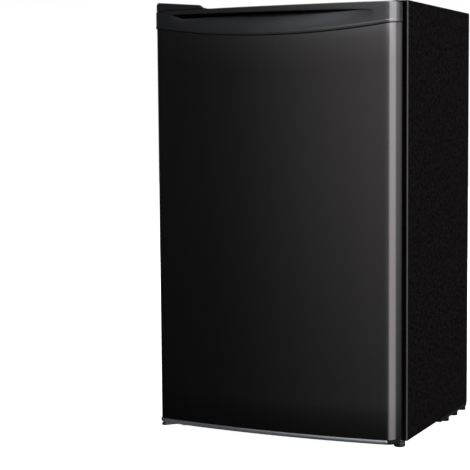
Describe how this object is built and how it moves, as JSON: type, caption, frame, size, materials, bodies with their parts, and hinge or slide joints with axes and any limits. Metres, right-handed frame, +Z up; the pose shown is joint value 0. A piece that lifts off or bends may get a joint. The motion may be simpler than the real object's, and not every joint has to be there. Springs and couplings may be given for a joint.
{
  "type": "mini fridge",
  "caption": "Free-standing compact refrigerator with one bowed door on left-hand hinges, a pocket handle along its top trim, a chiller box, glass shelves and door bins.",
  "frame": {"origin": "on the floor, under the middle of the whole appliance's box", "axes": "+X to the right of someone facing the door, -Y towards them, +Z up"},
  "size_m": [0.495, 0.472, 0.841],
  "materials": {
    "side_steel": "satin",
    "door_steel": "satin",
    "black_plastic": "satin",
    "trim_metal": "satin",
    "white_plastic": "satin",
    "clear_plastic": "gloss",
    "foam": "matte",
    "zinc_steel": "satin",
    "chrome_wire": "polished",
    "evaporator_aluminium": "satin",
    "copper": "satin",
    "rubber": "matte",
    "shelf_glass": "gloss"
  },
  "bodies": {
    "cabinet": {"cabinet_wrapper": "side_steel", "bottom_front_rail": "side_steel", "bottom_panel": "zinc_steel", "back_panel": "zinc_steel", "cabinet_foam": "foam", "inner_liner": "white_plastic", "condenser_coil_left": "copper", "condenser_coil_right": "copper", "compressor_base": "zinc_steel", "compressor_shell": "side_steel", "compressor_feet": "side_steel", "grommet_1": "rubber", "grommet_2": "rubber", "grommet_3": "rubber", "grommet_4": "rubber", "relay_cover": "black_plastic", "discharge_tube": "copper", "suction_tube": "copper", "filter_drier": "copper", "drain_pan": "black_plastic", "drain_tube": "white_plastic", "cord_gland": "rubber", "gland_plate": "zinc_steel", "evaporator_box": "evaporator_aluminium", "chiller_frame": "white_plastic", "drip_tray": "clear_plastic", "glass_shelf_upper": "shelf_glass", "shelf_trim_upper": "white_plastic", "glass_shelf_lower": "shelf_glass", "shelf_trim_lower": "white_plastic", "thermostat_housing": "white_plastic", "top_hinge_plate": "zinc_steel", "top_hinge_cover": "black_plastic", "lower_hinge_bracket": "side_steel", "top_hinge_screw_1": "zinc_steel", "top_hinge_screw_2": "zinc_steel", "lower_hinge_screw_1": "zinc_steel", "lower_hinge_screw_2": "zinc_steel", "hinge_hole_plug": "black_plastic", "skid_left": "rubber", "skid_right": "rubber"},
    "door": {"door_skin": "door_steel", "door_top_cap": "black_plastic", "door_bottom_cap": "trim_metal", "door_liner": "white_plastic", "door_foam": "foam", "door_gasket": "rubber", "hinge_bushing_top": "white_plastic", "hinge_bushing_bottom": "white_plastic", "bin_top": "clear_plastic", "bin_middle": "clear_plastic", "bin_bottom": "clear_plastic", "bin_rail_middle": "chrome_wire", "bin_rail_bottom": "chrome_wire"},
    "chiller_flap": {"chiller_door": "white_plastic"},
    "thermostat_dial": {"thermostat_knob": "white_plastic"},
    "left_foot": {"foot_pad_left": "rubber"},
    "left_foot_screw": {"foot_stem_left": "zinc_steel"},
    "right_foot": {"foot_pad_right": "rubber"},
    "right_foot_screw": {"foot_stem_right": "zinc_steel"}
  },
  "joints": [
    {"name": "door_hinge", "type": "hinge", "parent": "cabinet", "child": "door", "pos_m": [-0.2335, -0.186, 0.4], "axis": [0, 0, -1], "range_deg": [0, 120]},
    {"name": "chiller_flap_hinge", "type": "hinge", "parent": "cabinet", "child": "chiller_flap", "pos_m": [-0.035, -0.021, 0.6775], "axis": [1, 0, 0], "range_deg": [0, 90]},
    {"name": "thermostat_turn", "type": "hinge", "parent": "cabinet", "child": "thermostat_dial", "pos_m": [0.178, -0.05, 0.742], "axis": [0, -1, 0], "range_deg": [0, 270]},
    {"name": "left_foot_height", "type": "slide", "parent": "cabinet", "child": "left_foot", "axis": [0, 0, -1], "range_m": [0, 0.01]},
    {"name": "left_foot_spin", "type": "hinge", "parent": "left_foot", "child": "left_foot_screw", "pos_m": [-0.2275, -0.137, 0.013], "axis": [0, 0, -1], "range_deg": [0, 2900]},
    {"name": "right_foot_height", "type": "slide", "parent": "cabinet", "child": "right_foot", "axis": [0, 0, -1], "range_m": [0, 0.01]},
    {"name": "right_foot_spin", "type": "hinge", "parent": "right_foot", "child": "right_foot_screw", "pos_m": [0.2275, -0.137, 0.013], "axis": [0, 0, -1], "range_deg": [0, 2900]}
  ],
  "couplings": [
    {"joint": "left_foot_spin", "follows": "left_foot_height", "rad_per_m": 5026.5},
    {"joint": "right_foot_spin", "follows": "right_foot_height", "rad_per_m": 5026.5}
  ]
}
